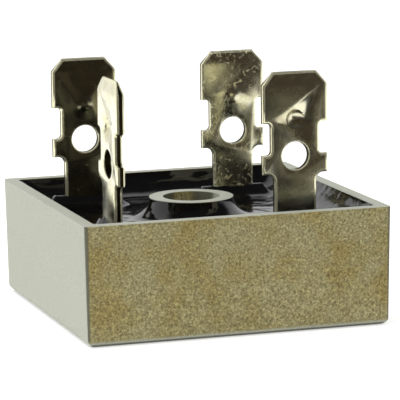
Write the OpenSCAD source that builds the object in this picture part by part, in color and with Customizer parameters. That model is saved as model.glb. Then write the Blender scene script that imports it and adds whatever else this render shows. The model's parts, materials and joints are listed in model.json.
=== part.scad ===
// Square metal-case bridge rectifier with push-on tabs.
// Four silicon dice on copper plates lie on an insulating pad in an open metal case, sunk in
// black potting. A tube through the middle takes the fixing screw. Units are millimetres.
// The origin is the middle of the base's underside, +Z runs up the tube, -Y is the front.

/* [Case] */
// Outside width and depth of the square case at the rim
case_w = 28.9; // [27.5:0.1:31]
// Height from the base to the rim
case_h = 11; // [10.4:0.1:13]
// How far each outer wall leans out from the base to the rim
draft = 0.2; // [0.1:0.05:0.3]
// Thickness of the four walls at the rim
wall_t = 1.15; // [0.9:0.05:1.6]
// Thickness of the floor that carries the heat away
floor_t = 2; // [1.5:0.1:2.4]
// Radius of the four edges round the base
base_edge_r = 0.9; // [0.4:0.1:1.2]
// Radius of the upright corners outside, at the rim
corner_r = 0.45; // [0.4:0.05:1]
// Radius of the upright corners of the cavity
cavity_corner_r = 0.5; // [0.3:0.1:1]

/* [Fixing tube] */
// Screw hole through the case
bore_d = 5.3; // [4.8:0.1:5.8]
// Wall of the tube round the screw hole
tube_wall = 1.3; // [0.9:0.05:1.6]
// How far the end of the tube lies below the rim
tube_drop = 0.35; // [0.2:0.05:0.8]

/* [Tab blades] */
// Width of the push-on blade
blade_w = 6.3; // [6.2:0.1:6.4]
// Thickness of the tab strip
blade_t = 0.8; // [0.7:0.05:0.85]
// Height of the blade tips above the base
tab_top = 23.1; // [22.5:0.05:25.4]
// Length of the full-width blade, from the tip to the side notches
blade_len = 4.7; // [4.2:0.05:5]
// Width left at the tip between the two corner cuts
tip_w = 4.2; // [3.6:0.05:4.6]
// Length of the corner cuts
tip_cut_h = 1.2; // [0.8:0.05:1.4]
// Thickness left at the tip by the lead-in bevels
tip_t = 0.4; // [0.3:0.05:0.5]
// Length of the lead-in bevels
bevel_h = 1; // [0.8:0.05:1.2]
// Depth of each side notch
notch_d = 0.82; // [0.6:0.02:0.95]
// Height of the side notches
notch_h = 2.95; // [2.6:0.05:3.2]
// Height of the ears under the notches
ear_h = 1.75; // [1.4:0.05:2]
// Width of the neck under the ears
neck_w = 4.05; // [3.8:0.05:4.4]
// Fillet in the corners of the notches
notch_r = 0.4; // [0.2:0.05:0.5]
// Fillet between the neck and the ears
neck_r = 0.7; // [0.4:0.05:0.8]
// Diameter of the soldering eye
eye_d = 2.6; // [2.2:0.05:2.7]
// Distance from the tip to the middle of the eye
eye_drop = 7.75; // [7.4:0.05:8]
// Mouth of the latching dimple
dimple_d = 1.9; // [1.6:0.05:2.1]
// Depth of the latching dimple
dimple_depth = 0.45; // [0.3:0.05:0.55]
// Distance from the tip to the middle of the dimple
dimple_drop = 4.4; // [3.6:0.05:4.6]
// Width of the dome pushed out behind the dimple
dome_d = 1.6; // [1.4:0.05:1.9]
// Height of the dome pushed out behind the dimple
dome_h = 0.25; // [0.1:0.05:0.35]

/* [Tab places] */
// From the front and back walls of the cavity to the planes of the three square-on tabs
row_gap = 4.4; // [4.2:0.1:4.7]
// From the left wall of the cavity to the middle of the back left tab
ac_back_gap = 5.5; // [5:0.1:6]
// From the right wall of the cavity to the middle of the back right tab
minus_gap = 6.2; // [5.2:0.1:6.6]
// From the right wall of the cavity to the middle of the front right tab
ac_front_gap = 6.2; // [5.2:0.1:6.4]
// From the left wall of the cavity to the plane of the turned front left tab
plus_side_gap = 3.4; // [3.3:0.1:3.9]
// From the front wall of the cavity to the middle of the turned front left tab
plus_front_gap = 5.7; // [5:0.1:6]

/* [Tab feet] */
// Radius inside the bend of the foot
bend_r = 0.4; // [0.3:0.05:0.6]
// Length of the foot over the plate, measured from the face behind it
foot_len = 3.4; // [2.8:0.1:3.6]

/* [Inside] */
// Thickness of the insulating pad on the floor
pad_t = 0.5; // [0.3:0.05:0.8]
// Space round the edges of the insulating pad
pad_gap = 0.3; // [0.15:0.05:0.5]
// Thickness of the copper plates
plate_t = 0.8; // [0.6:0.05:0.9]
// Space between the copper plates and the walls
plate_gap = 0.75; // [0.6:0.05:1]
// Width of the arms of the copper plates
arm_w = 6.6; // [6:0.1:6.8]
// Side of the square silicon dice
die_w = 5; // [4:0.1:5.4]
// Thickness of the silicon dice
die_t = 0.3; // [0.25:0.05:0.4]
// Thickness of every solder layer
solder_t = 0.1; // [0.08:0.01:0.15]
// Overlap of the copper arms past the edges of the dice
arm_lap = 0.7; // [0.4:0.05:1]

/* [Potting] */
// Depth of the flat of the potting below the rim
fill_drop = 2.15; // [1.8:0.05:2.4]
// Distance below the rim at which the potting on the walls ends
wall_creep_gap = 0.05; // [0.05:0.05:0.3]
// Distance below the end of the tube at which the potting on it ends
tube_creep_gap = 0.05; // [0.05:0.05:0.3]
// Height the potting creeps up the tabs
tab_creep = 1.1; // [0.6:0.05:1.4]
// Width of the creep along the walls
wall_reach = 3.1; // [2.2:0.1:3.2]
// Width of the creep round the tube
tube_reach = 2; // [1.8:0.1:2.8]
// Width of the creep round the tabs
tab_reach = 1.6; // [1.3:0.1:1.6]
// Thickness of the skin of potting at the top of each creep
creep_skin = 0.1; // [0.08:0.01:0.15]
// Radius of the drop left at the foot of the turned tab
drop_r = 1.2; // [0.8:0.1:1.3]
// Height of the middle of the drop above the flat
drop_rise = 0.9; // [0.4:0.1:0.9]
// From the middle of the turned tab to the middle of the drop
drop_side = 1.3; // [0.8:0.1:1.4]

/* [Hidden] */
$fn = 48;

// Amount by which a cutter runs past the face that it cuts
cut = 1;
// Amount by which each creep is sunk, so that it leaves the flat at a small angle
creep_sink = 0.03;
// Depth under the flat from which each creep starts
creep_root = 0.1;

// Case and tube
base_w = case_w - 2 * draft;
cavity_w = case_w - 2 * wall_t;
inner = cavity_w / 2;
tube_d = bore_d + 2 * tube_wall;
tube_top = case_h - tube_drop;
fill_z = case_h - fill_drop;

// Levels of the stack, from the floor up
pad_top = floor_t + pad_t;
lower_top = pad_top + plate_t;
die_z = lower_top + solder_t;
upper_z = die_z + die_t + solder_t;
upper_top = upper_z + plate_t;

// Ring of copper arms round the tube
arm_out = inner - plate_gap;
arm_in = arm_out - arm_w;
arm_mid = (arm_out + arm_in) / 2;
arm_end = die_w / 2 + arm_lap;

// Tab outline, measured down from the tip
notch_w = blade_w - 2 * notch_d;
ear_top = blade_len + notch_h;
ear_bottom = ear_top + ear_h;

// Each tab: middle x, middle y, turn about Z, top of the plate under its foot
PLUS = [plus_side_gap - inner, plus_front_gap - inner, -90, lower_top];
MINUS = [inner - minus_gap, inner - row_gap, 180, lower_top];
AC_LEFT = [ac_back_gap - inner, inner - row_gap, 180, upper_top];
AC_RIGHT = [inner - ac_front_gap, row_gap - inner, 0, upper_top];
TABS = [PLUS, MINUS, AC_LEFT, AC_RIGHT];

// Each die: middle x and y
LEFT = [-arm_mid, 0];
FRONT = [0, -arm_mid];
BACK = [0, arm_mid];
RIGHT = [arm_mid, 0];
DICE = [LEFT, FRONT, BACK, RIGHT];

// Radius of the circle that rises by h over the distance w from its lowest point
function radius_of(w, h) = (w * w + h * h) / (2 * h);

// Outlines

// Square with rounded corners
module rounded_square(w, r) {
    square([w, w - 2 * r], center = true);
    square([w - 2 * r, w], center = true);
    for (x = [-1, 1], y = [-1, 1])
        translate([x, y] * (w / 2 - r)) circle(r);
}

// Upright profile with the sides leaning out by draft, before its lower corners are rounded
module leaning_profile() {
    polygon([
        [-base_w / 2, 0], [base_w / 2, 0], [case_w / 2, case_h], [-case_w / 2, case_h]
    ]);
}

// Upright profile of the case, with each lower corner rounded by a circle that touches both sides
module case_profile() {
    lean = atan(draft / case_h);
    touch_z = base_edge_r * (1 - sin(lean));
    touch_x = base_w / 2 + touch_z * tan(lean);
    mid_x = touch_x - base_edge_r * cos(lean);
    polygon([
        [-touch_x, touch_z], [touch_x, touch_z], [case_w / 2, case_h], [-case_w / 2, case_h]
    ]);
    translate([-mid_x, 0]) square([2 * mid_x, base_edge_r]);
    for (x = [-1, 1])
        translate([x * mid_x, base_edge_r]) circle(base_edge_r);
}

// Fillet that fills the corner between the +X and +Y axes
module corner_fillet(r) {
    difference() {
        square(r);
        translate([r, r]) circle(r);
    }
}

// Profile of potting that creeps up a face: the face is the Y axis, the flat is the X axis.
// A circle that runs out flat at the reach, just under the flat, hollows it.
module creep_profile(rise, reach) {
    hollow_w = reach - creep_skin;
    hollow_h = rise + creep_sink;
    hollow_r = radius_of(hollow_w, hollow_h);
    difference() {
        translate([0, -creep_root]) square([reach, rise + creep_root]);
        translate([reach, hollow_r - creep_sink]) circle(hollow_r);
    }
}

// Half of the tab outline, from its centre line outwards, with the tip at y = 0
module half_tab_outline(length) {
    polygon([
        [0, 0], [tip_w / 2, 0], [blade_w / 2, -tip_cut_h], [blade_w / 2, -blade_len],
        [notch_w / 2, -blade_len], [notch_w / 2, -ear_top], [blade_w / 2, -ear_top],
        [blade_w / 2, -ear_bottom], [neck_w / 2, -ear_bottom], [neck_w / 2, -length], [0, -length]
    ]);
    translate([notch_w / 2, -blade_len]) mirror([0, 1]) corner_fillet(notch_r);
    translate([notch_w / 2, -ear_top]) corner_fillet(notch_r);
    translate([neck_w / 2, -ear_bottom]) mirror([0, 1]) corner_fillet(neck_r);
}

// L-shaped outline of a copper plate, lying in the corner at -X and -Y
module plate_outline() {
    length = arm_out + arm_end;
    translate([-arm_out, -arm_out]) square([arm_w, length]);
    translate([-arm_out, -arm_out]) square([length, arm_w]);
}

// Shapes

// Block with leaning sides and rounded upright corners
module case_block() {
    mid = case_w / 2 - corner_r;
    for (turn = [0, 90])
        rotate(turn) translate([0, mid, 0]) rotate([90, 0, 0])
            linear_extrude(2 * mid) leaning_profile();
    for (x = [-1, 1], y = [-1, 1])
        translate([x * mid, y * mid, 0]) cylinder(h = case_h, r1 = corner_r - draft, r2 = corner_r);
}

// Moves a tab from its own frame, where it faces -Y, to its place
module place_tab(tab) {
    translate([tab[0], tab[1], 0]) rotate(tab[2]) children();
}

// Foot of a tab: neck, bend and sole as one bent strip, with its sole resting at z
module tab_foot(z) {
    out_r = bend_r + blade_t;
    translate([neck_w / 2, blade_t / 2, z]) rotate([90, 0, -90]) linear_extrude(neck_w) {
        translate([0, out_r]) square([blade_t, tab_top - ear_bottom - z - out_r]);
        translate([out_r, 0]) square([foot_len - out_r, blade_t]);
        intersection() {
            square(out_r);
            difference() {
                translate([out_r, out_r]) circle(out_r);
                translate([out_r, out_r]) circle(bend_r);
            }
        }
    }
}

// Dome pushed out of the back of a tab, from the middle of its thickness
module dimple_dome() {
    dome_r = radius_of(dome_d / 2, dome_h);
    intersection() {
        translate([0, blade_t / 2 + dome_h - dome_r, 0]) sphere(dome_r);
        rotate([-90, 0, 0]) cylinder(h = blade_t, r = dome_r);
    }
}

// One tab in its own frame, facing -Y, with its sole resting at z
module tab(z) {
    bend_top = z + bend_r + blade_t;
    slope = (blade_t - tip_t) / 2;
    dimple_r = radius_of(dimple_d / 2, dimple_depth);
    difference() {
        union() {
            translate([0, blade_t / 2, tab_top]) rotate([90, 0, 0]) linear_extrude(blade_t) {
                half_tab_outline(tab_top - bend_top);
                mirror([1, 0]) half_tab_outline(tab_top - bend_top);
            }
            translate([0, 0, tab_top - dimple_drop]) dimple_dome();
        }
        for (side = [0, 1])
            mirror([0, side, 0]) translate([-blade_w / 2 - cut, -blade_t / 2, tab_top])
                rotate([90, 0, 90]) linear_extrude(blade_w + 2 * cut)
                    polygon([[0, -bevel_h], [slope, 0], [slope, cut], [-cut, cut], [-cut, -bevel_h]]);
        translate([0, blade_t / 2 + cut, tab_top - eye_drop]) rotate([90, 0, 0])
            cylinder(h = blade_t + 2 * cut, d = eye_d);
        translate([0, dimple_depth - blade_t / 2 - dimple_r, tab_top - dimple_drop]) sphere(dimple_r);
    }
    tab_foot(z);
}

// Square layer of a die or of its solder
module die_layer(die, z, thickness) {
    translate([die[0], die[1], z + thickness / 2]) cube([die_w, die_w, thickness], center = true);
}

// Solder between the sole of a tab and its plate
module sole_solder(tab) {
    out_r = bend_r + blade_t;
    place_tab(tab) translate([-neck_w / 2, out_r - blade_t / 2, tab[3]])
        cube([neck_w, foot_len - out_r, solder_t]);
}

// Copper plate in the corner that the turn chooses, with its underside at z
module plate(turn, z) {
    translate([0, 0, z]) rotate(turn) linear_extrude(plate_t) plate_outline();
}

// Potting that creeps up the four cavity walls
module wall_creep() {
    rise = fill_drop - wall_creep_gap;
    for (turn = [0:90:270])
        rotate(turn) translate([-cavity_w / 2, cavity_w / 2, fill_z]) rotate([90, 0, 0])
            linear_extrude(cavity_w) creep_profile(rise, wall_reach);
}

// Potting that creeps up the tube
module tube_creep() {
    translate([0, 0, fill_z]) rotate_extrude()
        translate([tube_d / 2, 0]) creep_profile(tube_top - tube_creep_gap - fill_z, tube_reach);
}

// Potting that creeps up the four faces of a tab's neck
module neck_creep() {
    for (side = [0, 1])
        mirror([0, side, 0]) translate([-neck_w / 2, -blade_t / 2, fill_z]) rotate([90, 0, 90])
            linear_extrude(neck_w) mirror([1, 0]) creep_profile(tab_creep, tab_reach);
    for (side = [0, 1])
        mirror([side, 0, 0]) translate([neck_w / 2, blade_t / 2, fill_z]) rotate([90, 0, 0])
            linear_extrude(blade_t) creep_profile(tab_creep, tab_reach);
    for (x = [0, 1], y = [0, 1])
        mirror([x, 0, 0]) mirror([0, y, 0]) translate([neck_w / 2, blade_t / 2, fill_z])
            rotate_extrude(angle = 90) creep_profile(tab_creep, tab_reach);
}

// Sub-parts

module case() {
    color("#A8A48A") difference() {
        union() {
            difference() {
                intersection() {
                    case_block();
                    translate([0, case_w / 2, 0]) rotate([90, 0, 0])
                        linear_extrude(case_w) case_profile();
                    translate([-case_w / 2, 0, 0]) rotate([90, 0, 90])
                        linear_extrude(case_w) case_profile();
                }
                translate([0, 0, floor_t])
                    linear_extrude(case_h) rounded_square(cavity_w, cavity_corner_r);
            }
            cylinder(h = tube_top, d = tube_d);
        }
        translate([0, 0, -cut]) cylinder(h = case_h + 2 * cut, d = bore_d);
    }
}

module potting() {
    color("#17171A") difference() {
        intersection() {
            union() {
                translate([0, 0, floor_t]) linear_extrude(fill_z - floor_t) square(cavity_w, center = true);
                wall_creep();
                tube_creep();
                for (tab = TABS) place_tab(tab) neck_creep();
                place_tab(PLUS) translate([-drop_side, -blade_t / 2, fill_z + drop_rise])
                    sphere(drop_r);
            }
            linear_extrude(case_h) rounded_square(cavity_w, cavity_corner_r);
        }
        cylinder(h = case_h, d = tube_d);
        insulating_pad();
        for (lower = [0, 180]) plate(lower, pad_top);
        for (upper = [90, 270]) plate(upper, upper_z);
        for (die = DICE) die_layer(die, lower_top, die_t + 2 * solder_t);
        for (tab = TABS) {
            sole_solder(tab);
            place_tab(tab) tab_foot(tab[3] + solder_t);
        }
    }
}

module insulating_pad() {
    color("#D9D2BC") translate([0, 0, floor_t]) linear_extrude(pad_t) difference() {
        square(cavity_w - 2 * pad_gap, center = true);
        circle(d = tube_d + 2 * pad_gap);
    }
}

module plate_plus() { color("#B87245") plate(0, pad_top); }
module plate_minus() { color("#B87245") plate(180, pad_top); }
module plate_ac_left() { color("#B87245") plate(270, upper_z); }
module plate_ac_right() { color("#B87245") plate(90, upper_z); }

module silicon_die(die) { color("#5B6068") die_layer(die, die_z, die_t); }
module solder_lower(die) { color("#B9BCC0") die_layer(die, lower_top, solder_t); }
module solder_upper(die) { color("#B9BCC0") die_layer(die, die_z + die_t, solder_t); }

module tab_solder(tab) { color("#B9BCC0") sole_solder(tab); }
module terminal(tab) { color("#8A8460") place_tab(tab) tab(tab[3] + solder_t); }

case();
potting();
insulating_pad();
plate_plus();
plate_minus();
plate_ac_left();
plate_ac_right();
silicon_die(LEFT);  // die_left
silicon_die(FRONT);  // die_front
silicon_die(BACK);  // die_back
silicon_die(RIGHT);  // die_right
solder_lower(LEFT);  // die_left_solder_lower
solder_lower(FRONT);  // die_front_solder_lower
solder_lower(BACK);  // die_back_solder_lower
solder_lower(RIGHT);  // die_right_solder_lower
solder_upper(LEFT);  // die_left_solder_upper
solder_upper(FRONT);  // die_front_solder_upper
solder_upper(BACK);  // die_back_solder_upper
solder_upper(RIGHT);  // die_right_solder_upper
terminal(PLUS);  // tab_plus
terminal(MINUS);  // tab_minus
terminal(AC_LEFT);  // tab_ac_left
terminal(AC_RIGHT);  // tab_ac_right
tab_solder(PLUS);  // tab_solder_plus
tab_solder(MINUS);  // tab_solder_minus
tab_solder(AC_LEFT);  // tab_solder_ac_left
tab_solder(AC_RIGHT);  // tab_solder_ac_right
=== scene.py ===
"""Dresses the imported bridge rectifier: cast case, black epoxy, plated tabs, inner parts, plain studio."""

import json
import math

import bmesh
import bpy
from bpy.props import FloatProperty, FloatVectorProperty, IntProperty, PointerProperty
from bpy.types import Operator, Panel, PropertyGroup
from mathutils import Matrix, Vector


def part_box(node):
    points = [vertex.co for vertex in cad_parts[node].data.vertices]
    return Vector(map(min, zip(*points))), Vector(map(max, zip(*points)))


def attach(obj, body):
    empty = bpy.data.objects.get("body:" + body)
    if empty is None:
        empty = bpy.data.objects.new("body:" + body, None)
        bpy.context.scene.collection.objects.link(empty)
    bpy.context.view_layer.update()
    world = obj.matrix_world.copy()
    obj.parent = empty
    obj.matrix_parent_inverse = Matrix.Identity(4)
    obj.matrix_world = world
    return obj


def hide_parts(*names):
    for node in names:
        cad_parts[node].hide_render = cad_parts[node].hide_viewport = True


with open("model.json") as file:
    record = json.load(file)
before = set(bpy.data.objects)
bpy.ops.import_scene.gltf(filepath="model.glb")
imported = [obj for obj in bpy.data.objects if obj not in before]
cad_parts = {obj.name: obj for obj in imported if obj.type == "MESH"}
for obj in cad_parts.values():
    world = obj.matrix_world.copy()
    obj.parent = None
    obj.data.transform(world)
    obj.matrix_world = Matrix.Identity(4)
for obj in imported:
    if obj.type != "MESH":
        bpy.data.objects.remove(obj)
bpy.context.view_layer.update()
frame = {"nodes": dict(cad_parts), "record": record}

bl_info = {
    "name": "Bridge rectifier",
    "version": (1, 0, 0),
    "blender": (4, 5, 0),
    "location": "3D View > Sidebar > Rectifier",
    "description": "Case, potting, tabs and inner parts of a potted bridge rectifier, with a plain studio",
    "category": "Object",
}

MM = 0.001
TABS = ("tab_plus", "tab_minus", "tab_ac_left", "tab_ac_right")

# Kinds of node that come back often
MATH = "ShaderNodeMath"
VECTOR = "ShaderNodeVectorMath"
SEPARATE = "ShaderNodeSeparateXYZ"
RANGE = "ShaderNodeMapRange"
RAMP = "ShaderNodeValToRGB"
MIX = "ShaderNodeMix"
NOISE = "ShaderNodeTexNoise"
BUMP = "ShaderNodeBump"
# Settings that come back often
SMOOTH = {"interpolation_type": "SMOOTHSTEP"}
COLOUR = {"data_type": "RGBA"}
MIXED = 2  # the Mix node's colour output


# ---------------------------------------------------------------- colours and node trees


def linear(hex_colour):
    """Linear RGBA of an sRGB hex colour."""
    parts = [int(hex_colour[i : i + 2], 16) / 255 for i in (1, 3, 5)]
    return (*[c / 12.92 if c <= 0.04045 else ((c + 0.055) / 1.055) ** 2.4 for c in parts], 1.0)


def grey(value):
    return (value, value, value, 1)


def add(tree, kind, inputs=(), output=0, stops=(), **settings):
    """Adds a node with its settings and colour stops, and returns one of its outputs.

    The inputs are listed in order, or by name or number in a dict. Each is a value or a linked output.
    """
    node = tree.nodes.new(kind)
    for name, value in settings.items():
        setattr(node, name, value)
    if stops:
        elements = node.color_ramp.elements
        while len(elements) < len(stops):
            elements.new(1)
        for element, (position, colour) in zip(elements, stops):
            element.position = position
            element.color = colour
    for key, value in inputs.items() if isinstance(inputs, dict) else enumerate(inputs):
        if isinstance(value, bpy.types.NodeSocket):
            tree.links.new(value, node.inputs[key])
        else:
            node.inputs[key].default_value = value
    return node.outputs[output] if node.outputs else node


# ---------------------------------------------------------------- materials


def new_material(name):
    """An empty material, its node tree and its object coordinates in millimetres."""
    material = bpy.data.materials.new(name)
    material.use_nodes = True
    tree = material.node_tree
    tree.nodes.clear()
    place = add(tree, "ShaderNodeTexCoord", output="Object")
    return material, tree, add(tree, VECTOR, {0: place, "Scale": 1 / MM}, operation="SCALE")


def cover(material, inputs):
    """Gives a material its shader with these inputs."""
    tree = material.node_tree
    shader = add(tree, "ShaderNodeBsdfPrincipled", inputs)
    add(tree, "ShaderNodeOutputMaterial", (shader,))
    return material


def cast_aluminium(look):
    """Die-cast aluminium, tumbled with grit and chromated.

    The tumbling gives a matt, sandy skin, grey on every face. The gold on the front face is painted warm
    light, and the darker rounded upright edges and base are painted shade.
    """
    material, tree, place = new_material("cast_aluminium_chromated")
    facing = add(tree, "ShaderNodeNewGeometry", output="True Normal")
    normal = add(tree, SEPARATE, (facing,)).node.outputs
    height = add(tree, SEPARATE, (place,), "Z")
    # grit leaves grains of about a fifth of a millimetre, drawn at their real width
    grains = look.grain / MM
    grain = add(
        tree, NOISE, {"Vector": place, "Scale": 1 / grains, "Detail": 3, "Roughness": 0.62, "Distortion": 0.6}
    )
    fine = add(tree, NOISE, {"Vector": place, "Scale": 2 / grains, "Detail": 2, "Roughness": 0.6})
    cloud = add(tree, NOISE, {"Vector": place, "Scale": 1 / 3.2, "Detail": 3, "Roughness": 0.55})
    # painted warm light: the gold ramp is the sandy skin lit warm; its bright peaks are grain tone and partly
    # painted glints
    warm_lit_gold = add(
        tree,
        RAMP,
        (grain,),
        stops=((0.30, look.warm_lit_gold_pits), (0.44, look.warm_lit_gold), (0.56, look.warm_lit_gold_light), (0.72, look.warm_lit_gold_peaks)),
    )
    warm = add(
        tree, MIX, {0: 1.0, 6: warm_lit_gold, 7: linear("#F2E6C4")}, MIXED, blend_type="MULTIPLY", **COLOUR
    )
    clouded = add(tree, RANGE, (cloud, 0.35, 0.7), **SMOOTH)
    warm_lit_gold = add(tree, MIX, {0: clouded, 6: warm_lit_gold, 7: warm}, MIXED, **COLOUR)
    thin = add(tree, RAMP, (fine,), stops=((0.30, look.thin_dark), (0.5, look.thin), (0.70, look.thin_light)))
    # painted warm light: faces turned to the front take the gold, the others keep the grey skin
    front = add(tree, RANGE, (normal["Y"], -0.80, -0.97), **SMOOTH)
    skin = add(tree, MIX, {0: front, 6: thin, 7: warm_lit_gold}, MIXED, **COLOUR)
    # painted shade: darker on the rounded upright edges, where the normal points both ways,
    # and on the downward rounding round the base
    slant = add(tree, MATH, (normal["X"], normal["Y"]), operation="MULTIPLY")
    upright_corner_shade = add(tree, RANGE, (add(tree, MATH, (slant,), operation="ABSOLUTE"), 0.22, 0.42), **SMOOTH)
    down = add(tree, MATH, (normal["Z"], -1.0), operation="MULTIPLY")
    under = add(tree, RANGE, (down, 0.55, 0.8), **SMOOTH)
    low = add(tree, RANGE, (height, 0.9, 0.2), **SMOOTH)
    base = add(tree, MATH, (under, low), operation="MULTIPLY")
    edge = add(tree, MATH, (upright_corner_shade, base), operation="MAXIMUM")
    painted_edge_shade = add(tree, MATH, (edge, 0.85), operation="MULTIPLY")
    skin = add(tree, MIX, {0: painted_edge_shade, 6: skin, 7: look.painted_edge_shade}, MIXED, **COLOUR)
    rough = add(tree, RAMP, (fine,), stops=((0.3, grey(0.5)), (0.7, grey(0.8))))
    relief = add(tree, BUMP, {"Height": grain, "Distance": 0.06 * MM})
    return cover(material, {"Base Color": skin, "Metallic": 0.25, "Roughness": rough, "Normal": relief})


def black_epoxy(look):
    """Black potting epoxy, poured and cured in air.

    It is near-black and glossy, with slow waves that bend what it mirrors, and a little dust.
    """
    material, tree, place = new_material("black_potting_epoxy")
    waves = add(
        tree, NOISE, {"Vector": place, "Scale": 1 / 2.6, "Detail": 1.5, "Roughness": 0.4, "Distortion": 0.8}
    )
    dust = add(tree, NOISE, {"Vector": place, "Scale": 1 / 0.12, "Detail": 2, "Roughness": 0.7})
    slow = add(tree, NOISE, {"Vector": place, "Scale": 1 / 1.1, "Detail": 3, "Roughness": 0.6})
    tone = add(tree, RAMP, (slow,), stops=((0.35, look.dark), (0.6, look.black), (0.8, look.light)))
    dusty = add(tree, RANGE, (dust, 0.74, 0.8), **SMOOTH)
    colour = add(tree, MIX, {0: dusty, 6: tone, 7: look.dust}, MIXED, **COLOUR)
    rough = add(tree, RAMP, (dust,), stops=((0.4, grey(0.07)), (0.75, grey(0.16))))
    relief = add(tree, BUMP, {"Height": waves, "Distance": 0.10 * MM})
    return cover(material, {"Base Color": colour, "IOR": 1.53, "Roughness": rough, "Normal": relief})


def plated_brass(name, look, tarnish, pale, waviness):
    """Stamped brass with a bright tin plating.

    It mirrors softly. Where the die rolled its edges over it is pale and mirrors less, a painted highlight;
    where it was sheared it is bare metal painted dark brown, partly as painted shade. Tarnish turns it olive,
    and thin plating (pale) mottles it. The face attribute edge says which is which: 0 on a face, 0.5 on a
    rolled edge and
    1 on a sheared side.
    """
    material, tree, place = new_material(name)
    blotch = add(
        tree, NOISE, {"Vector": place, "Scale": 1 / 1.6, "Detail": 4, "Roughness": 0.6, "Distortion": 0.7}
    )
    mottle = add(
        tree, NOISE, {"Vector": place, "Scale": 1 / 0.7, "Detail": 4, "Roughness": 0.7, "Distortion": 1.5}
    )
    speck = add(tree, NOISE, {"Vector": place, "Scale": 1 / 0.16, "Detail": 2, "Roughness": 0.7})
    cleaner = add(tree, RANGE, (blotch, 0.4, 0.7), **SMOOTH)
    duller = add(tree, RANGE, (blotch, 0.35, 0.65), **SMOOTH)
    bright = add(tree, MIX, {0: cleaner, 6: look.bright, 7: look.bright_shade}, MIXED, **COLOUR)
    dull = add(tree, MIX, {0: duller, 6: look.tarnish_dark, 7: look.tarnish}, MIXED, **COLOUR)
    colour = add(tree, MIX, {0: tarnish, 6: bright, 7: dull}, MIXED, **COLOUR)
    # thin places and specks in the plating scatter more light than they mirror
    thin = add(tree, MATH, (add(tree, RANGE, (mottle, 0.52, 0.66), **SMOOTH), pale), operation="MULTIPLY")
    specks = add(tree, MATH, (add(tree, RANGE, (speck, 0.70, 0.76), **SMOOTH), 0.8), operation="MULTIPLY")
    scatter = add(tree, MATH, (thin, specks), operation="MAXIMUM")
    colour = add(tree, MIX, {0: scatter, 6: colour, 7: look.thin}, MIXED, **COLOUR)
    band = add(tree, "ShaderNodeAttribute", output="Fac", attribute_name="edge")
    enters = add(tree, RANGE, (band, 0.3, 0.5), **SMOOTH)
    leaves = add(tree, RANGE, (band, 0.9, 0.6), **SMOOTH)
    rolled = add(tree, MATH, (enters, leaves), operation="MULTIPLY")
    sheared = add(tree, RANGE, (band, 0.8, 0.9), **SMOOTH)
    # painted highlight: the rolled edges take a pale colour
    colour = add(tree, MIX, {0: rolled, 6: colour, 7: look.rolled}, MIXED, **COLOUR)
    # bare sheared metal, and painted shade: the sheared sides are painted dark brown
    colour = add(tree, MIX, {0: sheared, 6: colour, 7: look.sheared}, MIXED, **COLOUR)
    metal = add(tree, MATH, (scatter, -0.45, 1.0), operation="MULTIPLY_ADD")
    # painted highlight: the rolled edges mirror less and scatter their pale colour
    metal = add(tree, MATH, (rolled, -0.2, metal), operation="MULTIPLY_ADD")
    rough = add(tree, RAMP, (blotch,), stops=((0.35, grey(0.16)), (0.7, grey(0.30))))
    rough = add(tree, MATH, (sheared, 0.35, rough), operation="MULTIPLY_ADD")
    # strip is drawn along its length, so its scratches run up the tab; they are drawn wider than they are
    drawn = add(tree, VECTOR, (place, (1, 1, 0.12)), operation="MULTIPLY")
    scratch = add(tree, NOISE, {"Vector": drawn, "Scale": 1 / 0.09, "Detail": 2, "Roughness": 0.5})
    waves = add(tree, NOISE, {"Vector": place, "Scale": 1 / 2.2, "Detail": 1, "Roughness": 0.5})
    relief = add(tree, BUMP, {"Height": waves, "Distance": 0.03 * MM * waviness})
    relief = add(tree, BUMP, {"Height": scratch, "Distance": 0.002 * MM, "Normal": relief})
    return cover(material, {"Base Color": colour, "Metallic": metal, "Roughness": rough, "Normal": relief})


def sunk_part(name, dark, light, metallic, roughness, width):
    """A part sunk in the potting: two tones mottled at width millimetres."""
    material, tree, place = new_material(name)
    blotch = add(tree, NOISE, {"Vector": place, "Scale": 1 / width, "Detail": 4, "Roughness": 0.6})
    colour = add(tree, RAMP, (blotch,), stops=((0.35, dark), (0.7, light)))
    rough = add(tree, RAMP, (blotch,), stops=((0.3, grey(roughness)), (0.7, grey(min(1, roughness + 0.2)))))
    relief = add(tree, BUMP, {"Height": blotch, "Distance": 0.02 * MM})
    return cover(material, {"Base Color": colour, "Metallic": metallic, "Roughness": rough, "Normal": relief})


# ---------------------------------------------------------------- meshes

# Loose corners closer than this are one
WELD = 0.001 * MM
# Faces that turn less than this are one
FLAT = math.radians(0.5)
# Above the fill, a tab's neck is straight for at least this length
NECK = 3.2 * MM


def finish_piece(obj, material, *nodes, slot):
    """Puts a finished piece on the body and in place of the CAD nodes it stands for."""
    obj.data.materials.clear()
    obj.data.materials.append(material)
    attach(obj, "root")
    if nodes:
        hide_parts(*nodes)
    return obj


def merged_copy(node):
    """A joined, tidy copy of a CAD node's loose triangles, as a bmesh."""
    bm = bmesh.new()
    bm.from_mesh(frame["nodes"][node].data)
    bmesh.ops.remove_doubles(bm, verts=bm.verts, dist=WELD)
    bmesh.ops.dissolve_limit(bm, angle_limit=FLAT, verts=bm.verts, edges=bm.edges)
    return bm


def object_of(bm, name):
    mesh = bpy.data.meshes.new(name)
    bm.to_mesh(mesh)
    bm.free()
    obj = bpy.data.objects.new(name, mesh)
    bpy.context.scene.collection.objects.link(obj)
    return obj


def mount(name):
    """The record's mount of this name."""
    return next(given for given in frame["record"]["mounts"] if given["name"] == name)


def neck_box(node):
    """Lowest and highest corner of a tab's neck, from its vertices just above the fill."""
    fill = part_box("potting")[1].z
    points = [v.co for v in frame["nodes"][node].data.vertices if fill < v.co.z < fill + NECK]
    return (
        Vector((min(p.x for p in points), min(p.y for p in points), 0)),
        Vector((max(p.x for p in points), max(p.y for p in points), 0)),
    )


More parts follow.
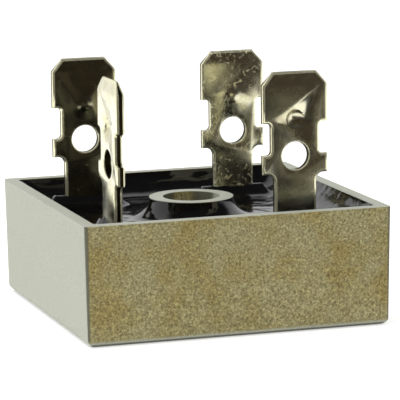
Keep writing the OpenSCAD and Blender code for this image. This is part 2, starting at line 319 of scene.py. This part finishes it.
def rectangle(bm, low, high):
    """A level face between two opposite corners."""
    corners = (low, (high.x, low.y, low.z), high, (low.x, high.y, low.z))
    bm.faces.new([bm.verts.new(corner) for corner in corners])


# ---------------------------------------------------------------- geometry nodes


def new_tree(name, inputs):
    """An empty Geometry Nodes tree with the inputs (name, socket kind, default), and their outlets."""
    tree = bpy.data.node_groups.new(name, "GeometryNodeTree")
    tree.interface.new_socket("Geometry", in_out="INPUT", socket_type="NodeSocketGeometry")
    for label, kind, default in inputs:
        socket = tree.interface.new_socket(label, in_out="INPUT", socket_type=kind)
        if default is not None:
            socket.default_value = default
    tree.interface.new_socket("Geometry", in_out="OUTPUT", socket_type="NodeSocketGeometry")
    return tree, tree.nodes.new("NodeGroupInput").outputs


def grow(name, tree, values):
    """Runs a tree on an empty object and keeps the result as a plain mesh."""
    obj = bpy.data.objects.new(name, bpy.data.meshes.new(name))
    bpy.context.scene.collection.objects.link(obj)
    modifier = obj.modifiers.new(name, "NODES")
    modifier.node_group = tree
    for item in tree.interface.items_tree:
        if item.in_out == "INPUT" and item.name in values:
            modifier[item.identifier] = values[item.name]
    evaluated = obj.evaluated_get(bpy.context.evaluated_depsgraph_get())
    mesh = bpy.data.meshes.new_from_object(evaluated)
    obj.modifiers.clear()
    obj.data = mesh
    mesh.name = name
    return obj


def creep_height(tree, distance, rise, reach):
    """Height of the epoxy at a distance from a face: a circle hollows it that runs out flat at the reach."""
    reach_squared = add(tree, MATH, (reach, reach), operation="MULTIPLY")
    square = add(tree, MATH, (rise, rise, reach_squared), operation="MULTIPLY_ADD")
    twice = add(tree, MATH, (rise, 2.0), operation="MULTIPLY")
    radius = add(tree, MATH, (square, twice), operation="DIVIDE")
    left = add(tree, MATH, (reach, distance), operation="SUBTRACT")
    left = add(tree, MATH, (left, 0.0), operation="MAXIMUM")
    radius_squared = add(tree, MATH, (radius, radius), operation="MULTIPLY")
    left_squared = add(tree, MATH, (left, left), operation="MULTIPLY")
    under = add(tree, MATH, (radius_squared, left_squared), operation="SUBTRACT")
    return add(tree, MATH, (radius, add(tree, MATH, (under,), operation="SQRT")), operation="SUBTRACT")


def ring_walk(tree, value):
    """A grid whose rows run from the tube to the wall, down, back along the bottom and up the tube.

    Returns the grid, how far outward each point lies (0 to 1), whether it is a low one, and its place round
    the ring (0 to 1).
    """
    loop = add(tree, MATH, (value["Rows"], 3.0), operation="ADD")
    rows = add(tree, MATH, (loop, 1.0), operation="ADD")
    grid = add(
        tree,
        "GeometryNodeMeshGrid",
        {"Size X": 1, "Size Y": 1, "Vertices X": rows, "Vertices Y": value["Columns"]},
    )
    at = add(tree, SEPARATE, (add(tree, "GeometryNodeInputPosition"),)).node.outputs
    row = add(tree, MATH, (add(tree, MATH, (at["X"], 0.5), operation="ADD"), loop), operation="MULTIPLY")
    round_ring = add(tree, MATH, (at["Y"], 0.5), operation="ADD")
    # rows lie closer together near the tube and the wall
    across = add(tree, MATH, (row, value["Rows"]), operation="DIVIDE")
    swing = add(tree, MATH, (add(tree, MATH, (across, math.pi), operation="MULTIPLY"),), operation="COSINE")
    spread = add(tree, MATH, (swing, -0.5, 0.5), operation="MULTIPLY_ADD")
    # the last three rows close the ring: under the wall, under the tube, and the first row again
    steps = [add(tree, MATH, (value["Rows"], past), operation="ADD") for past in (0.5, 1.5, 2.5)]
    under, inner, closing = (add(tree, MATH, (row, step), operation="GREATER_THAN") for step in steps)
    outward = add(tree, MATH, (spread, under), operation="MAXIMUM")
    outer = add(tree, MATH, (1.0, inner), operation="SUBTRACT")
    outward = add(tree, MATH, (outward, outer), operation="MULTIPLY")
    return grid, outward, add(tree, MATH, (under, closing), operation="SUBTRACT"), round_ring


def epoxy_pool_tree():
    """The poured epoxy: a ring of mesh between the fixing tube and the walls that climbs whatever it wets."""
    creeps = ("Wall", "Tube", "Neck", "Drop")
    lengths = ["Half width", "Tube radius", "Fill", "Bottom", "Wave"]
    lengths += [f"{creep} {size}" for creep in creeps for size in ("rise", "reach")]
    tree, value = new_tree(
        "epoxy_pool",
        [(name, "NodeSocketFloat", 0.0) for name in lengths]
        + [
            ("Drop place", "NodeSocketVector", None),
            ("Rows", "NodeSocketInt", 10),
            ("Columns", "NodeSocketInt", 10),
            ("Seed", "NodeSocketFloat", 0.0),
            ("Necks", "NodeSocketObject", None),
            ("Material", "NodeSocketMaterial", None),
        ],
    )
    grid, outward, low, round_ring = ring_walk(tree, value)
    # from the tube's circle to the walls' outline
    width = add(tree, MATH, (value["Half width"], 2.0), operation="MULTIPLY")
    outline = add(
        tree, "GeometryNodeCurvePrimitiveQuadrilateral", {"Width": width, "Height": width}, mode="RECTANGLE"
    )
    wall = add(
        tree,
        "GeometryNodeSampleCurve",
        {"Curves": outline, "Factor": round_ring},
        "Position",
        mode="FACTOR",
        data_type="FLOAT_VECTOR",
    )
    toward = add(tree, VECTOR, (wall,), operation="NORMALIZE")
    tube = add(tree, VECTOR, {0: toward, "Scale": value["Tube radius"]}, operation="SCALE")
    span = add(tree, VECTOR, (wall, tube), operation="SUBTRACT")
    walked = add(tree, VECTOR, {0: span, "Scale": outward}, operation="SCALE")
    flat = add(tree, VECTOR, (tube, walked), operation="ADD")
    # how far each point is from what the epoxy climbs
    place = add(tree, SEPARATE, (flat,)).node.outputs
    sides = [add(tree, MATH, (place[axis],), operation="ABSOLUTE") for axis in "XY"]
    necks = add(tree, "GeometryNodeObjectInfo", {"Object": value["Necks"]}, "Geometry")
    from_axis = add(tree, VECTOR, (flat,), "Value", operation="LENGTH")
    distances = (
        ("Wall", add(tree, MATH, (value["Half width"], sides[0]), operation="SUBTRACT")),
        ("Wall", add(tree, MATH, (value["Half width"], sides[1]), operation="SUBTRACT")),
        ("Tube", add(tree, MATH, (from_axis, value["Tube radius"]), operation="SUBTRACT")),
        ("Neck", add(tree, "GeometryNodeProximity", {"Target": necks, "Source Position": flat}, "Distance")),
        ("Drop", add(tree, VECTOR, (flat, value["Drop place"]), "Value", operation="DISTANCE")),
    )
    # the share of the surface that stays flat is a product, so that one creep runs into the next
    still = 1.0
    for name, distance in distances:
        creep = creep_height(tree, distance, value[name + " rise"], value[name + " reach"])
        share = add(tree, MATH, (creep, value["Wall rise"]), operation="DIVIDE")
        left = add(tree, MATH, (1.0, share), operation="SUBTRACT")
        still = add(tree, MATH, (still, left), operation="MULTIPLY")
    climbed = add(tree, MATH, (1.0, still), operation="SUBTRACT")
    rise = add(tree, MATH, (value["Wall rise"], climbed), operation="MULTIPLY")
    wobble = add(
        tree,
        NOISE,
        {"Vector": flat, "W": value["Seed"], "Scale": 0.33 / MM, "Detail": 1.5},
        noise_dimensions="4D",
    )
    swell = add(tree, MATH, (value["Wave"], still), operation="MULTIPLY")
    ripple = add(tree, MATH, (wobble, 0.5), operation="SUBTRACT")
    ripple = add(tree, MATH, (ripple, swell), operation="MULTIPLY")
    top = add(tree, MATH, (value["Fill"], add(tree, MATH, (rise, ripple), operation="ADD")), operation="ADD")
    # low points lie on the bottom, all others on the surface
    high = add(tree, MATH, (1.0, low), operation="SUBTRACT")
    upper = add(tree, MATH, (top, high), operation="MULTIPLY")
    lower = add(tree, MATH, (value["Bottom"], low), operation="MULTIPLY")
    height = add(tree, MATH, (upper, lower), operation="ADD")
    lift = add(tree, "ShaderNodeCombineXYZ", {"Z": height})
    lifted = add(tree, VECTOR, (flat, lift), operation="ADD")
    shaped = add(tree, "GeometryNodeSetPosition", {"Geometry": grid, "Position": lifted})
    closed = add(tree, "GeometryNodeMergeByDistance", {"Geometry": shaped, "Distance": 2 * WELD})
    real = add(tree, "GeometryNodeRealizeInstances", {"Geometry": closed})
    painted = add(tree, "GeometryNodeSetMaterial", {"Geometry": real, "Material": value["Material"]})
    add(tree, "NodeGroupOutput", (painted,))
    return tree


# ---------------------------------------------------------------- property groups


def colour_property(name, hex_colour, description):
    return FloatVectorProperty(
        name=name, description=description, subtype="COLOR", size=4, min=0, max=1, default=linear(hex_colour)
    )


def length_property(name, millimetres, description):
    return FloatProperty(
        name=name,
        description=description,
        subtype="DISTANCE",
        unit="LENGTH",
        default=millimetres * MM,
        precision=5,
    )


def angle_property(name, degrees, description):
    return FloatProperty(
        name=name, description=description, subtype="ANGLE", unit="ROTATION", default=math.radians(degrees)
    )


class RECTIFIER_PG_stage(PropertyGroup):
    azimuth: angle_property("Azimuth", -17.9272, "Turn of the camera round the part, from the front")
    elevation: angle_property("Elevation", 9.5855, "Height of the camera over the table, as an angle")
    roll: angle_property("Roll", -0.7048, "Turn of the camera about its own axis")
    distance: length_property("Distance", 269.8002, "From the point that the camera looks at to the camera")
    aim_side: length_property("Aim sideways", 0.8691, "Point that the camera looks at, along X")
    aim_height: length_property("Aim height", 10.1956, "Height of the point that the camera looks at")
    lens: FloatProperty(name="Lens", description="Focal length, in millimetres", default=258.44, min=1)
    board: colour_property("Board", "#F4F4F2", "Colour of the floor")
    glow: FloatProperty(name="Glow", description="Share of white that the floor adds", default=0.45)
    card: colour_property("Card", "#100E0C", "Colour of the dark card, seen only in reflections")
    card_low: colour_property("Card, lying", "#FFF6DC", "Tint of the dark card where it lies on the table")
    card_high: colour_property("Card, standing", "#E8C89A", "Tint of the dark card where it stands")
    card_glow: FloatProperty(name="Card glow", description="Glow of the card where it stands", default=0.04)
    card_near: FloatProperty(name="Card near", description="Glow of its left part on the table", default=0.01)
    card_far: FloatProperty(name="Card far", description="Glow of its right part on the table", default=0.125)
    lamp_power: FloatProperty(
        name="Lamp power", description="Power of the main soft lamp", default=0.55, min=0, unit="POWER"
    )
    world_light: FloatProperty(
        name="World light", description="Strength of the world as light", default=0.55, min=0
    )
    overhead: FloatProperty(
        name="Overhead", description="Strength of the world reflected over the front", default=0.06, min=0
    )


class RECTIFIER_PG_case(PropertyGroup):
    grain: length_property("Grain", 0.2, "Width of the cast skin's grains")
    # painted warm light: the gold colours are the front face's skin lit warm; the thin colours are its own
    # grey
    warm_lit_gold_pits: colour_property("Gold, pits", "#6A643F", "Thick chromate in the pits of the front")
    warm_lit_gold: colour_property("Gold", "#8F8760", "Thick chromate on the front")
    warm_lit_gold_light: colour_property("Gold, light", "#AAA276", "Thick chromate on the grains of the front")
    warm_lit_gold_peaks: colour_property("Gold, peaks", "#D2CA9C", "Rubbed tops of the grains of the front")
    thin_dark: colour_property("Thin, dark", "#A3A698", "Thin chromate in the pits of the other faces")
    thin: colour_property("Thin", "#BABDAE", "Thin chromate on the other faces")
    thin_light: colour_property("Thin, light", "#D0D2C6", "Thin chromate on the grains of the other faces")
    # painted shade on the rounded upright edges and round the base
    painted_edge_shade: colour_property("Film", "#4A4833", "Dark film on the rounded edges")


class RECTIFIER_PG_epoxy(PropertyGroup):
    fill: length_property("Fill height", 8.85, "Height of the epoxy's flat surface above the base")
    wall_reach: length_property("Wall reach", 3.1, "Width of the creep along the walls")
    tube_reach: length_property("Tube reach", 2.0, "Width of the creep round the tube")
    neck_reach: length_property("Neck reach", 1.6, "Width of the creep round a tab")
    neck_climb: length_property("Neck climb", 1.1, "Height that the epoxy climbs on a tab")
    tube_wall: length_property("Tube wall", 1.3, "Thickness of the case's tube round the screw hole")
    creep_gap: length_property("Creep gap", 0.05, "How far the epoxy ends below the end of the tube")
    drop_reach: length_property("Drop reach", 1.7, "Width of the drop at the foot of the turned tab")
    drop_climb: length_property("Drop climb", 2.0, "Height of the drop at the foot of the turned tab")
    drop_side: length_property("Drop side", 1.3, "From the middle of the turned tab to that of the drop")
    wave: length_property("Wave", 0.05, "Height of the slow waves of the cured surface")
    rows: IntProperty(name="Rows", description="Mesh squares from the tube to the wall", default=64, min=8)
    columns: IntProperty(name="Columns", description="Mesh points round the tube", default=577, min=9)
    seed: FloatProperty(name="Seed", description="Which of the possible wavy surfaces is made", default=3.0)
    dark: colour_property("Dark", "#060606", "Darkest tone of the epoxy")
    black: colour_property("Black", "#0B0B0C", "Main tone of the epoxy")
    light: colour_property("Light", "#141312", "Lightest tone of the epoxy")
    dust: colour_property("Dust", "#5B5950", "Dust caught in the surface")


class RECTIFIER_PG_tabs(PropertyGroup):
    roll: length_property("Edge roll", 0.24, "Radius of the tabs' rolled outline")
    rim_roll: length_property("Rim roll", 0.12, "Radius of the rims of the eyes")
    roll_steps: IntProperty(name="Roll steps", description="Faces across a rolled edge", default=3, min=1)
    bright: colour_property("Bright", "#EDEACF", "Clean plating")
    bright_shade: colour_property("Bright, shaded", "#DDD7B4", "Clean plating where it is clouded")
    tarnish_dark: colour_property("Tarnish, dark", "#5E553F", "Tarnished plating at its darkest")
    tarnish: colour_property("Tarnish", "#7A7254", "Tarnished plating")
    thin: colour_property("Thin", "#E3DBA8", "Thin plating and specks")
    # painted highlight along the rolled edges
    rolled: colour_property("Rolled", "#F2EECB", "Rolled edges, polished by the die")
    # bare sheared metal, partly painted shade
    sheared: colour_property("Sheared", "#3B3422", "Sheared sides, bare and oxidised")


class RECTIFIER_PG_inside(PropertyGroup):
    copper_dark: colour_property("Copper, dark", "#8A4A30", "Dark mottles of the rolled copper plates")
    copper: colour_property("Copper", "#C77B55", "Rolled copper plates")
    silicon_dark: colour_property("Silicon, dark", "#2C2F36", "Dark mottles of the sawn dice")
    silicon: colour_property("Silicon", "#4A4F58", "Sawn dice")
    solder_dark: colour_property("Solder, dark", "#7F8385", "Dark mottles of the solder")
    solder: colour_property("Solder", "#B2B6B8", "Solder")
    pad_dark: colour_property("Pad, dark", "#D8D6CC", "Dark mottles of the insulating pad")
    pad: colour_property("Pad", "#ECEAE2", "Insulating pad")


# ---------------------------------------------------------------- stage

# Half width, front depth and back depth of the floor, in metres
FLOOR = (0.8, 0.8, 0.9)
# The dark card: its turns round the part in degrees from the front
CARD_TURNS = range(-85, 41, 5)
# The dark card's outline, as radius and height in metres
CARD_OUTLINE = ((0.04, 0.001), (0.35, 0.001), (0.35, 0.35))
# Direction over the front, in which the world is dark in reflections
OVER_FRONT = (0.2, -0.6, 0.78)
# Soft lamps: name, place and side in metres, share of the lamp power
LAMPS = (
    ("lamp_top", (-0.10, 0.02, 0.34), 0.26, 1.0),
    ("lamp_left", (-0.34, -0.10, 0.14), 0.22, 0.7),
    ("lamp_front", (0.12, -0.36, 0.24), 0.20, 0.5),
)
LAMP_AIM = Vector((0, 0, 0.01))


def place_camera(scene, look):
    camera = bpy.data.cameras.new("camera")
    camera.lens = look.lens
    camera.sensor_width = 36
    camera.clip_start = 0.01
    camera.clip_end = 10
    eye = bpy.data.objects.new("camera", camera)
    eye.matrix_world = (
        Matrix.Translation((look.aim_side, 0, look.aim_height))
        @ Matrix.Rotation(look.azimuth, 4, "Z")
        @ Matrix.Rotation(math.pi / 2 - look.elevation, 4, "X")
        @ Matrix.Rotation(look.roll, 4, "Z")
        @ Matrix.Translation((0, 0, look.distance))
    )
    scene.collection.objects.link(eye)
    scene.camera = eye


def light_world(scene, look):
    """White to the eye; weaker as light; in reflections white all round, but dark over the front."""
    world = bpy.data.worlds.new("studio")
    scene.world = world
    world.use_nodes = True
    tree = world.node_tree
    tree.nodes.clear()
    path = add(tree, "ShaderNodeLightPath").node.outputs
    seen = add(tree, MATH, (path["Is Camera Ray"], path["Is Transmission Ray"]), operation="MAXIMUM")
    plain = add(tree, MATH, (seen, 1 - look.world_light, look.world_light), operation="MULTIPLY_ADD")
    direction = add(tree, "ShaderNodeTexCoord", output="Generated")
    toward = add(tree, VECTOR, (direction, OVER_FRONT), "Value", operation="DOT_PRODUCT")
    around = add(tree, RANGE, (toward, 0.6, 0.35), **SMOOTH)
    mirrored = add(tree, MATH, (around, 1 - look.overhead, look.overhead), operation="MULTIPLY_ADD")
    shiny = path["Is Glossy Ray"]
    other = add(tree, MATH, (1.0, shiny), operation="SUBTRACT")
    elsewhere = add(tree, MATH, (plain, other), operation="MULTIPLY")
    strength = add(tree, MATH, (mirrored, shiny, elsewhere), operation="MULTIPLY_ADD")
    light = add(tree, "ShaderNodeBackground", {"Color": (1, 1, 1, 1), "Strength": strength})
    add(tree, "ShaderNodeOutputWorld", (light,))


def white_board(look):
    """Matt white board: an even pale floor that takes a soft shadow and is seen as nearly white."""
    material, tree, _ = new_material("matte_white_board")
    path = add(tree, "ShaderNodeLightPath").node.outputs
    mirrored = add(tree, MATH, (path["Is Glossy Ray"], path["Is Transmission Ray"]), operation="MAXIMUM")
    seen = add(tree, MATH, (path["Is Camera Ray"], mirrored), operation="MAXIMUM")
    glow = add(tree, MATH, (seen, look.glow), operation="MULTIPLY")
    white = (1, 1, 1, 1)
    return cover(
        material,
        {"Base Color": look.board, "Roughness": 0.9, "Emission Color": white, "Emission Strength": glow},
    )


def lay_floor(look):
    side, front, back = FLOOR
    bm = bmesh.new()
    rectangle(bm, Vector((-side, -front, 0)), Vector((side, back, 0)))
    floor = object_of(bm, "floor")
    floor.data.materials.append(white_board(look))


def black_card(look):
    """Black card: near-black and matt, paler to the right on the table, where the room's light reaches it."""
    material, tree, place = new_material("black_card")
    at = add(tree, SEPARATE, (place,)).node.outputs
    fade = add(tree, RANGE, (at["X"], 18.0, 46.0, look.card_near, look.card_far))
    stands = add(tree, RANGE, (at["Z"], 4.0, 8.0), **SMOOTH)
    lies = add(tree, RANGE, (at["Z"], 8.0, 4.0), **SMOOTH)
    tint = add(tree, MIX, {0: stands, 6: look.card_low, 7: look.card_high}, MIXED, **COLOUR)
    more = add(tree, MATH, (fade, look.card_glow), operation="SUBTRACT")
    glow = add(tree, MATH, (more, lies, look.card_glow), operation="MULTIPLY_ADD")
    return cover(
        material,
        {"Base Color": look.card, "Roughness": 0.9, "Emission Color": tint, "Emission Strength": glow},
    )


def stand_card(look):
    """The dark card in front of the part, which only reflections show."""
    bm = bmesh.new()
    rings = []
    for turn in CARD_TURNS:
        out = Vector((math.sin(math.radians(turn)), -math.cos(math.radians(turn)), 0))
        rings.append([bm.verts.new(out * radius + Vector((0, 0, height))) for radius, height in CARD_OUTLINE])
    for first, second in zip(rings, rings[1:]):
        for i in range(len(CARD_OUTLINE) - 1):
            bm.faces.new((first[i], second[i], second[i + 1], first[i + 1]))
    card = object_of(bm, "dark_card")
    card.data.materials.append(black_card(look))
    card.visible_camera = False
    card.visible_diffuse = False
    card.visible_shadow = False


def hang_lamps(scene, look):
    for name, place, side, share in LAMPS:
        data = bpy.data.lights.new(name, "AREA")
        data.size = side
        data.energy = share * look.lamp_power
        lamp = bpy.data.objects.new(name, data)
        lamp.visible_glossy = False
        toward = (LAMP_AIM - Vector(place)).to_track_quat("-Z", "Y")
        lamp.matrix_world = Matrix.Translation(place) @ toward.to_matrix().to_4x4()
        scene.collection.objects.link(lamp)


# ---------------------------------------------------------------- operators


class RECTIFIER_OT_stage(Operator):
    """Add the camera, the world, the pale floor, the dark card and the soft lamps"""

    bl_idname = "rectifier.stage"
    bl_label = "Stage"

    def execute(self, context):
        scene = context.scene
        look = scene.rectifier_stage
        scene.view_settings.view_transform = "Standard"
        place_camera(scene, look)
        light_world(scene, look)
        lay_floor(look)
        stand_card(look)
        hang_lamps(scene, look)
        return {"FINISHED"}


class RECTIFIER_OT_case(Operator):
    """Give the cast case its skin"""

    bl_idname = "rectifier.case"
    bl_label = "Case"

    def execute(self, context):
        case = frame["nodes"]["case"]
        case.data.materials[0] = cast_aluminium(context.scene.rectifier_case)
        return {"FINISHED"}


class RECTIFIER_OT_epoxy(Operator):
    """Pour the glossy black epoxy"""

    bl_idname = "rectifier.epoxy"
    bl_label = "Epoxy"

    def execute(self, context):
        look = context.scene.rectifier_epoxy
        low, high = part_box("potting")
        bm = bmesh.new()
        for node in TABS:
            rectangle(bm, *neck_box(node))
        necks = object_of(bm, "necks")
        material = black_epoxy(look)
        bore = mount("screw_hole")["dims"]
        tube_end = bore["length_mm"] * MM
        first, last = neck_box("tab_plus")
        sizes = {
            "Half width": high.x,
            "Tube radius": bore["r_mm"] * MM + look.tube_wall,
            "Fill": look.fill,
            "Bottom": low.z,
            "Wall rise": high.z - look.fill,
            "Wall reach": look.wall_reach,
            "Tube rise": tube_end - look.creep_gap - look.fill,
            "Tube reach": look.tube_reach,
            "Neck rise": look.neck_climb,
            "Neck reach": look.neck_reach,
            "Drop rise": look.drop_climb,
            "Drop reach": look.drop_reach,
            "Drop place": Vector((first.x, (first.y + last.y) / 2 + look.drop_side, 0)),
            "Wave": look.wave,
            "Rows": look.rows,
            "Columns": look.columns,
            "Seed": look.seed,
            "Necks": necks,
            "Material": material,
        }
        pool = grow("epoxy_pool", epoxy_pool_tree(), sizes)
        bpy.data.objects.remove(necks)
        bm = bmesh.new()
        bm.from_mesh(pool.data)
        bmesh.ops.recalc_face_normals(bm, faces=bm.faces)
        for face in bm.faces:
            face.smooth = True
        bm.to_mesh(pool.data)
        bm.free()
        pool.data.set_sharp_from_angle(angle=math.radians(50))
        finish_piece(pool, material, "potting", slot="potting")
        return {"FINISHED"}


class RECTIFIER_OT_tabs(Operator):
    """Make the four terminal tabs with rolled edges"""

    bl_idname = "rectifier.tabs"
    bl_label = "Tabs"

    # tarnish, share of thin plating, waviness
    finishes = {
        "tab_plus": (0.0, 0.0, 0.5),
        "tab_minus": (0.1, 1.0, 1.6),
        "tab_ac_left": (0.75, 0.0, 0.8),
        "tab_ac_right": (0.15, 0.1, 0.7),
    }

    @staticmethod
    def in_eye(face, node, through):
        """Whether a side face belongs to the wall of the tab's eye."""
        eye = mount(node + "_eye")
        offset = face.calc_center_median() - Vector(eye["pos_m"])
        offset -= offset.dot(through) * through
        return offset.length < 1.2 * eye["dims"]["r_mm"] * MM

    def edges_to_roll(self, bm, node, through, band):
        """The edges between faces and sides, round the eye and round the outline.

        The corners of the outline, which run through the strip, stay square.
        """
        rims = []
        outline = []
        for edge in bm.edges:
            first, last = (vert.co for vert in edge.verts)
            sides = [face for face in edge.link_faces if face[band]]
            if len(sides) != 1 or abs((last - first).normalized().dot(through)) > 0.5:
                continue
            (rims if self.in_eye(sides[0], node, through) else outline).append(edge)
        return rims, outline

    def execute(self, context):
        look = context.scene.rectifier_tabs
        for node, finish in self.finishes.items():
            bm = merged_copy(node)
            through = Vector((1, 0, 0)) if node == "tab_plus" else Vector((0, 1, 0))
            band = bm.faces.layers.float.new("edge")
            for face in bm.faces:
                face[band] = 1.0 if abs(face.normal.dot(through)) < 0.1 else 0.0
            rims, outline = self.edges_to_roll(bm, node, through, band)
            for edges, offset in ((rims, look.rim_roll), (outline, look.roll)):
                made = bmesh.ops.bevel(
                    bm,
                    geom=edges,
                    offset=offset,
                    offset_type="OFFSET",
                    segments=look.roll_steps,
                    profile=0.5,
                    affect="EDGES",
                    clamp_overlap=False,
                )
                for face in made["faces"]:
                    face[band] = 0.5
            bmesh.ops.recalc_face_normals(bm, faces=bm.faces)
            for face in bm.faces:
                face.smooth = face[band] > 0 or 0.02 < abs(face.normal.dot(through)) < 0.97
            piece = object_of(bm, node + "_plated")
            piece.data.set_sharp_from_angle(angle=math.radians(32))
            finish_piece(piece, plated_brass("tin_plated_brass_" + node[4:], look, *finish), node, slot="tab")
        return {"FINISHED"}


class RECTIFIER_OT_inside(Operator):
    """Give the plates, dice, solder and pad inside the potting their finishes"""

    bl_idname = "rectifier.inside"
    bl_label = "Inside"

    def execute(self, context):
        look = context.scene.rectifier_inside
        finishes = {
            # rolled copper: warm and satin
            "plate": sunk_part("rolled_copper", look.copper_dark, look.copper, 1.0, 0.3, 0.8),
            # sawn silicon: blue-grey with a dull shine
            "die": sunk_part("sawn_silicon", look.silicon_dark, look.silicon, 0.6, 0.25, 0.4),
            # solder that has melted and set: grey and softly bright
            "solder": sunk_part("reflowed_solder", look.solder_dark, look.solder, 1.0, 0.3, 0.3),
            # pad filled with alumina: off-white and matt
            "insulating": sunk_part("alumina_filled_pad", look.pad_dark, look.pad, 0.0, 0.6, 0.3),
        }
        for name, node in frame["nodes"].items():
            kind = "solder" if "solder" in name else name.split("_")[0]
            if kind in finishes:
                node.data.materials[0] = finishes[kind]
        return {"FINISHED"}


class RECTIFIER_PT_panel(Panel):
    """Lists the makers of the rectifier's pieces with their sizes and colours"""

    bl_idname = "RECTIFIER_PT_panel"
    bl_label = "Bridge rectifier"
    bl_space_type = "VIEW_3D"
    bl_region_type = "UI"
    bl_category = "Rectifier"

    def draw(self, context):
        for operator, group in MAKERS:
            box = self.layout.box()
            box.operator(operator.bl_idname)
            settings = getattr(context.scene, group)
            for key in GROUPS[group].__annotations__:
                box.prop(settings, key)


GROUPS = {
    "rectifier_stage": RECTIFIER_PG_stage,
    "rectifier_case": RECTIFIER_PG_case,
    "rectifier_epoxy": RECTIFIER_PG_epoxy,
    "rectifier_tabs": RECTIFIER_PG_tabs,
    "rectifier_inside": RECTIFIER_PG_inside,
}
MAKERS = (
    (RECTIFIER_OT_stage, "rectifier_stage"),
    (RECTIFIER_OT_case, "rectifier_case"),
    (RECTIFIER_OT_epoxy, "rectifier_epoxy"),
    (RECTIFIER_OT_tabs, "rectifier_tabs"),
    (RECTIFIER_OT_inside, "rectifier_inside"),
)
CLASSES = (*GROUPS.values(), *(operator for operator, group in MAKERS), RECTIFIER_PT_panel)


def register():
    for cls in CLASSES:
        bpy.utils.register_class(cls)
    for name, group in GROUPS.items():
        setattr(bpy.types.Scene, name, PointerProperty(type=group))


def unregister():
    for name in GROUPS:
        delattr(bpy.types.Scene, name)
    for cls in reversed(CLASSES):
        bpy.utils.unregister_class(cls)


def main():
    register()
    bpy.ops.rectifier.stage()
    bpy.ops.rectifier.case()
    bpy.ops.rectifier.epoxy()
    bpy.ops.rectifier.tabs()
    bpy.ops.rectifier.inside()


if __name__ == "__main__":
    main()
